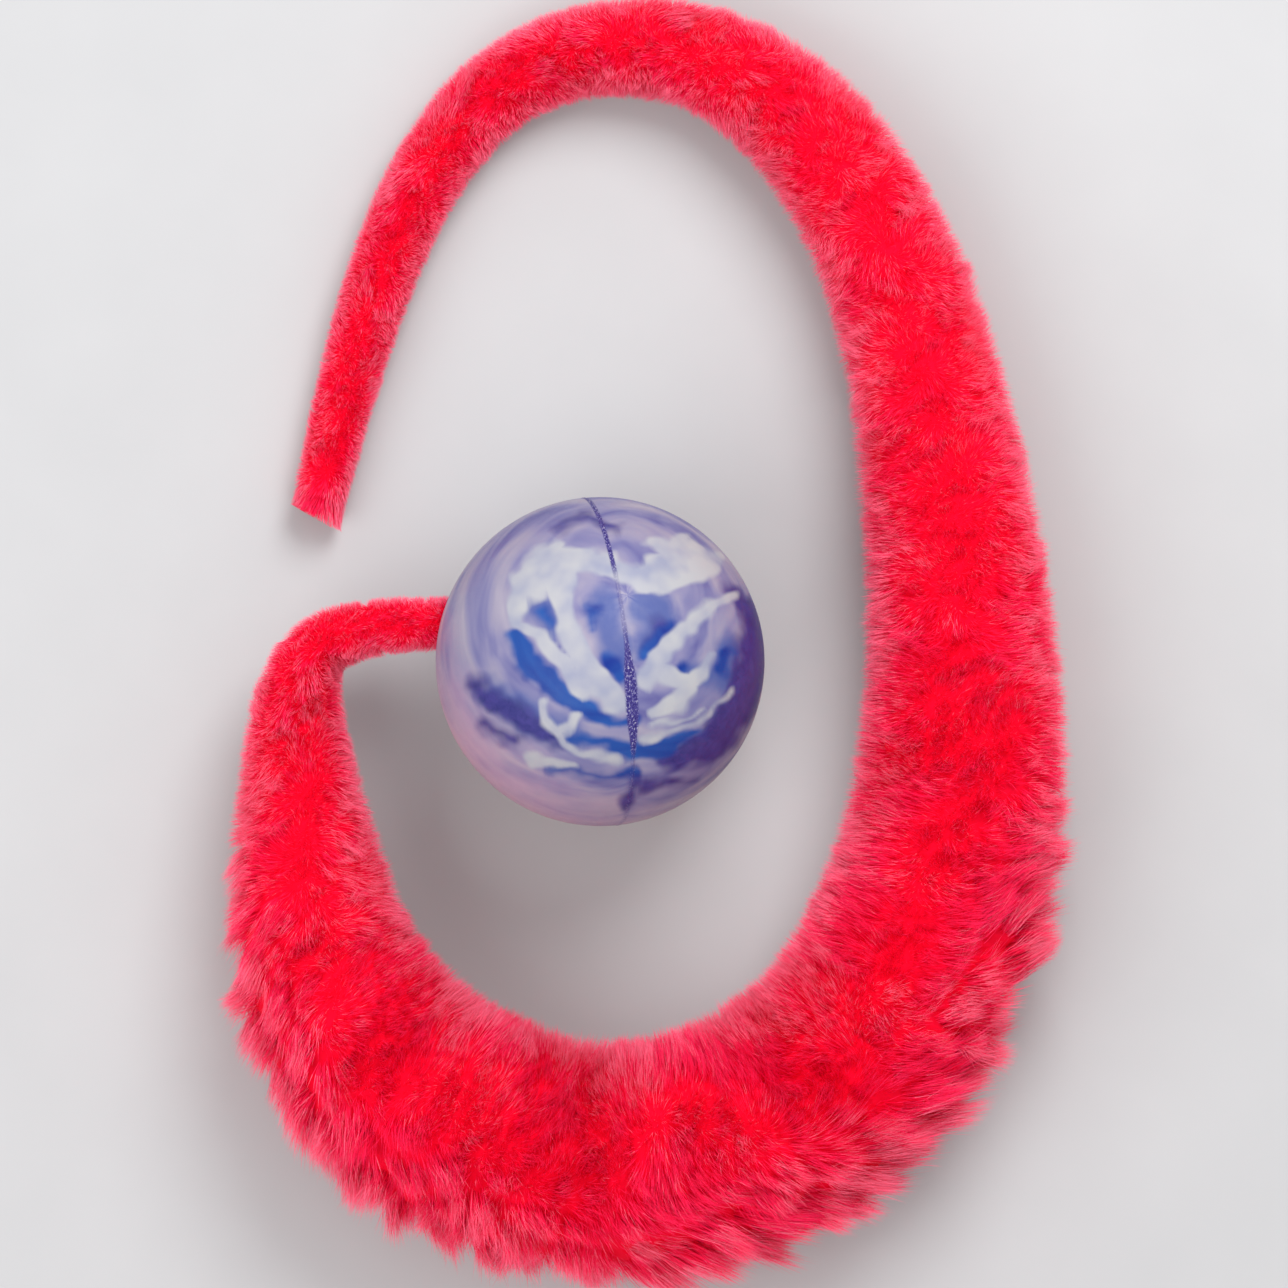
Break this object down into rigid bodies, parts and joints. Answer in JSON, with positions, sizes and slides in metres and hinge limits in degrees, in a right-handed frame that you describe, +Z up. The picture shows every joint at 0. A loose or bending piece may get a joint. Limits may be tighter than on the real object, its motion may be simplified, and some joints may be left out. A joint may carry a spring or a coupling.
{
  "type": "bouncing ball with a plush tail",
  "caption": "Marbled solid rubber bouncing ball with a long spindle-shaped plush chenille tail glued into its side, curled round the ball as it lies flat.",
  "frame": {"origin": "on the surface that the ball and tail lie on, below the middle of the outline", "axes": "+Z up; +Y along the curl's length, from its fat bottom turn towards its thin top turn; the tail leaves the ball towards -X"},
  "size_m": [0.1565, 0.2361, 0.06],
  "materials": {
    "ball_rubber": "smooth satin rubber, cloudy and slightly translucent, marbled white, blue, indigo and lavender",
    "tail_pile": "dense cut plush pile, pink-red, lighter at the tips of the fibres",
    "tail_cord": "two twisted yarns, matt",
    "hot_glue": "cloudy hot-melt glue",
    "fused_tip": "melted yarn, hard and slightly shiny"
  },
  "bodies": {
    "ball": {"ball": "ball_rubber", "tail_glue": "hot_glue", "tail_core_root": "tail_cord", "tail_pile_root": "tail_pile"},
    "tail_01": {"tail_pile_01": "tail_pile", "tail_core_01": "tail_cord"},
    "tail_02": {"tail_pile_02": "tail_pile", "tail_core_02": "tail_cord"},
    "tail_03": {"tail_pile_03": "tail_pile", "tail_core_03": "tail_cord"},
    "tail_04": {"tail_pile_04": "tail_pile", "tail_core_04": "tail_cord"},
    "tail_05": {"tail_pile_05": "tail_pile", "tail_core_05": "tail_cord"},
    "tail_06": {"tail_pile_06": "tail_pile", "tail_core_06": "tail_cord"},
    "tail_07": {"tail_pile_07": "tail_pile", "tail_core_07": "tail_cord"},
    "tail_08": {"tail_pile_08": "tail_pile", "tail_core_08": "tail_cord"},
    "tail_09": {"tail_pile_09": "tail_pile", "tail_core_09": "tail_cord"},
    "tail_10": {"tail_pile_10": "tail_pile", "tail_core_10": "tail_cord"},
    "tail_11": {"tail_pile_11": "tail_pile", "tail_core_11": "tail_cord"},
    "tail_12": {"tail_pile_12": "tail_pile", "tail_core_12": "tail_cord"},
    "tail_13": {"tail_pile_13": "tail_pile", "tail_core_13": "tail_cord"},
    "tail_14": {"tail_pile_14": "tail_pile", "tail_core_14": "tail_cord"},
    "tail_15": {"tail_pile_15": "tail_pile", "tail_core_15": "tail_cord"},
    "tail_16": {"tail_pile_16": "tail_pile", "tail_core_16": "tail_cord", "tail_tip": "fused_tip"}
  },
  "joints": [
    {"name": "tail_bend_01", "type": "hinge", "parent": "ball", "child": "tail_01", "pos_m": [-0.052, 0.003, 0.02], "axis": [0, 0, -1], "range_deg": [-2, 30]},
    {"name": "tail_bend_02", "type": "hinge", "parent": "tail_01", "child": "tail_02", "pos_m": [-0.064, -0.004, 0.019], "axis": [0, 0, -1], "range_deg": [-2, 44]},
    {"name": "tail_bend_03", "type": "hinge", "parent": "tail_02", "child": "tail_03", "pos_m": [-0.063, -0.034, 0.018], "axis": [0, 0, -1], "range_deg": [-2, 20]},
    {"name": "tail_bend_04", "type": "hinge", "parent": "tail_03", "child": "tail_04", "pos_m": [-0.057, -0.068, 0.018], "axis": [0, 0, -1], "range_deg": [-2, 22]},
    {"name": "tail_bend_05", "type": "hinge", "parent": "tail_04", "child": "tail_05", "pos_m": [-0.034, -0.09, 0.019], "axis": [0, 0, -1], "range_deg": [-2, 30]},
    {"name": "tail_bend_06", "type": "hinge", "parent": "tail_05", "child": "tail_06", "pos_m": [-0.003, -0.098, 0.019], "axis": [0, 0, -1], "range_deg": [-2, 33]},
    {"name": "tail_bend_07", "type": "hinge", "parent": "tail_06", "child": "tail_07", "pos_m": [0.029, -0.087, 0.0195], "axis": [0, 0, -1], "range_deg": [-2, 32]},
    {"name": "tail_bend_08", "type": "hinge", "parent": "tail_07", "child": "tail_08", "pos_m": [0.05, -0.061, 0.0185], "axis": [0, 0, -1], "range_deg": [-2, 25]},
    {"name": "tail_bend_09", "type": "hinge", "parent": "tail_08", "child": "tail_09", "pos_m": [0.06, -0.021, 0.0165], "axis": [0, 0, -1], "range_deg": [-2, 25]},
    {"name": "tail_bend_10", "type": "hinge", "parent": "tail_09", "child": "tail_10", "pos_m": [0.056, 0.028, 0.0135], "axis": [0, 0, -1], "range_deg": [-2, 15]},
    {"name": "tail_bend_11", "type": "hinge", "parent": "tail_10", "child": "tail_11", "pos_m": [0.047, 0.068, 0.0115], "axis": [0, 0, -1], "range_deg": [-2, 25]},
    {"name": "tail_bend_12", "type": "hinge", "parent": "tail_11", "child": "tail_12", "pos_m": [0.03, 0.096, 0.0105], "axis": [0, 0, -1], "range_deg": [-2, 28]},
    {"name": "tail_bend_13", "type": "hinge", "parent": "tail_12", "child": "tail_13", "pos_m": [0.007, 0.11, 0.0085], "axis": [0, 0, -1], "range_deg": [-4, 37]},
    {"name": "tail_bend_14", "type": "hinge", "parent": "tail_13", "child": "tail_14", "pos_m": [-0.021, 0.107, 0.0072], "axis": [0, 0, -1], "range_deg": [-4, 39]},
    {"name": "tail_bend_15", "type": "hinge", "parent": "tail_14", "child": "tail_15", "pos_m": [-0.04, 0.088, 0.0063], "axis": [0, 0, -1], "range_deg": [-4, 28]},
    {"name": "tail_bend_16", "type": "hinge", "parent": "tail_15", "child": "tail_16", "pos_m": [-0.053, 0.055, 0.0055], "axis": [0, 0, -1], "range_deg": [-4, 15]}
  ]
}
